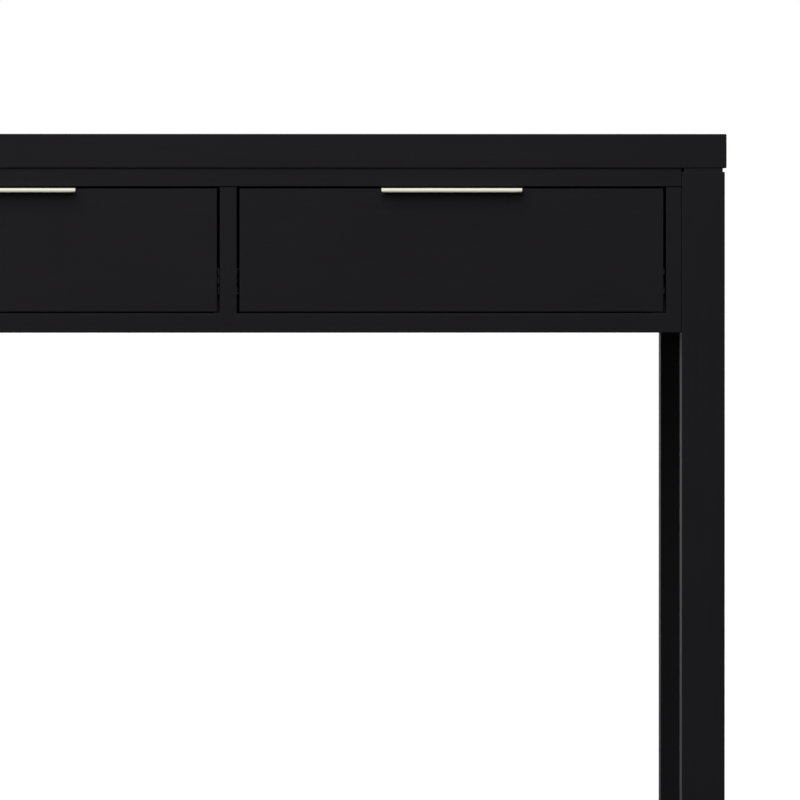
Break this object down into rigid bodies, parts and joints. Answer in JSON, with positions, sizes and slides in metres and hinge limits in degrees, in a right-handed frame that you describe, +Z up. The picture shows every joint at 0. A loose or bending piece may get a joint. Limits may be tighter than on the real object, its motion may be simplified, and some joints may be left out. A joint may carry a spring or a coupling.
{
  "type": "writing desk with drawers",
  "caption": "Satin-black writing desk on square legs, with inset drawers on ball-bearing slides under a thick top and pale gold edge pulls",
  "frame": {"origin": "on the floor under the middle of the whole desk, pulls included", "axes": "X along the width to the sitter's right, Y from the drawer fronts to the back, Z up"},
  "size_m": [1.524, 0.516, 0.762],
  "materials": {
    "black_lacquer": "satin black lacquer on wood",
    "pale_gold": "pale champagne gold, fine brushed",
    "slide_zinc": "bright zinc-plated steel",
    "fastener_zinc": "zinc-plated steel",
    "drawer_wood": "clear-lacquered solid wood",
    "drawer_plywood": "clear-lacquered plywood",
    "dowel_beech": "bare beech",
    "glide_nylon": "black nylon"
  },
  "bodies": {
    "frame": {"back_left_leg": "black_lacquer", "back_panel": "black_lacquer", "back_right_leg": "black_lacquer", "centre_drawer_left_frame_slide": "slide_zinc", "centre_drawer_right_frame_slide": "slide_zinc", "dowels": "dowel_beech", "foot_glides": "glide_nylon", "frame_screws": "fastener_zinc", "front_bottom_rail": "black_lacquer", "front_left_leg": "black_lacquer", "front_right_leg": "black_lacquer", "front_top_rail": "black_lacquer", "left_bay_panel": "black_lacquer", "left_divider": "black_lacquer", "left_drawer_left_frame_slide": "slide_zinc", "left_drawer_right_frame_slide": "slide_zinc", "left_side_rail": "black_lacquer", "leg_bolts": "fastener_zinc", "leg_inserts": "fastener_zinc", "right_bay_panel": "black_lacquer", "right_divider": "black_lacquer", "right_drawer_left_frame_slide": "slide_zinc", "right_drawer_right_frame_slide": "slide_zinc", "right_side_rail": "black_lacquer", "tabletop": "black_lacquer", "top_brackets": "fastener_zinc"},
    "left_drawer": {"left_drawer_back": "drawer_wood", "left_drawer_bottom": "drawer_plywood", "left_drawer_front": "black_lacquer", "left_drawer_left_drawer_slide": "slide_zinc", "left_drawer_left_side": "drawer_wood", "left_drawer_pull": "pale_gold", "left_drawer_pull_screws": "fastener_zinc", "left_drawer_right_drawer_slide": "slide_zinc", "left_drawer_right_side": "drawer_wood", "left_drawer_slide_screws": "fastener_zinc"},
    "left_ball_cages": {"left_drawer_ball_cages": "slide_zinc"},
    "centre_drawer": {"centre_drawer_back": "drawer_wood", "centre_drawer_bottom": "drawer_plywood", "centre_drawer_front": "black_lacquer", "centre_drawer_left_drawer_slide": "slide_zinc", "centre_drawer_left_side": "drawer_wood", "centre_drawer_pull": "pale_gold", "centre_drawer_pull_screws": "fastener_zinc", "centre_drawer_right_drawer_slide": "slide_zinc", "centre_drawer_right_side": "drawer_wood", "centre_drawer_slide_screws": "fastener_zinc"},
    "centre_ball_cages": {"centre_drawer_ball_cages": "slide_zinc"},
    "right_drawer": {"right_drawer_back": "drawer_wood", "right_drawer_bottom": "drawer_plywood", "right_drawer_front": "black_lacquer", "right_drawer_left_drawer_slide": "slide_zinc", "right_drawer_left_side": "drawer_wood", "right_drawer_pull": "pale_gold", "right_drawer_pull_screws": "fastener_zinc", "right_drawer_right_drawer_slide": "slide_zinc", "right_drawer_right_side": "drawer_wood", "right_drawer_slide_screws": "fastener_zinc"},
    "right_ball_cages": {"right_drawer_ball_cages": "slide_zinc"}
  },
  "joints": [
    {"name": "left_drawer_slide", "type": "slide", "parent": "frame", "child": "left_drawer", "axis": [0, -1, 0], "range_m": [0, 0.29]},
    {"name": "left_cage_roll", "type": "slide", "parent": "frame", "child": "left_ball_cages", "axis": [0, -1, 0], "range_m": [0, 0.145]},
    {"name": "centre_drawer_slide", "type": "slide", "parent": "frame", "child": "centre_drawer", "axis": [0, -1, 0], "range_m": [0, 0.29]},
    {"name": "centre_cage_roll", "type": "slide", "parent": "frame", "child": "centre_ball_cages", "axis": [0, -1, 0], "range_m": [0, 0.145]},
    {"name": "right_drawer_slide", "type": "slide", "parent": "frame", "child": "right_drawer", "axis": [0, -1, 0], "range_m": [0, 0.29]},
    {"name": "right_cage_roll", "type": "slide", "parent": "frame", "child": "right_ball_cages", "axis": [0, -1, 0], "range_m": [0, 0.145]}
  ],
  "couplings": [
    {"joint": "left_cage_roll", "follows": "left_drawer_slide", "ratio": 0.5},
    {"joint": "centre_cage_roll", "follows": "centre_drawer_slide", "ratio": 0.5},
    {"joint": "right_cage_roll", "follows": "right_drawer_slide", "ratio": 0.5}
  ]
}
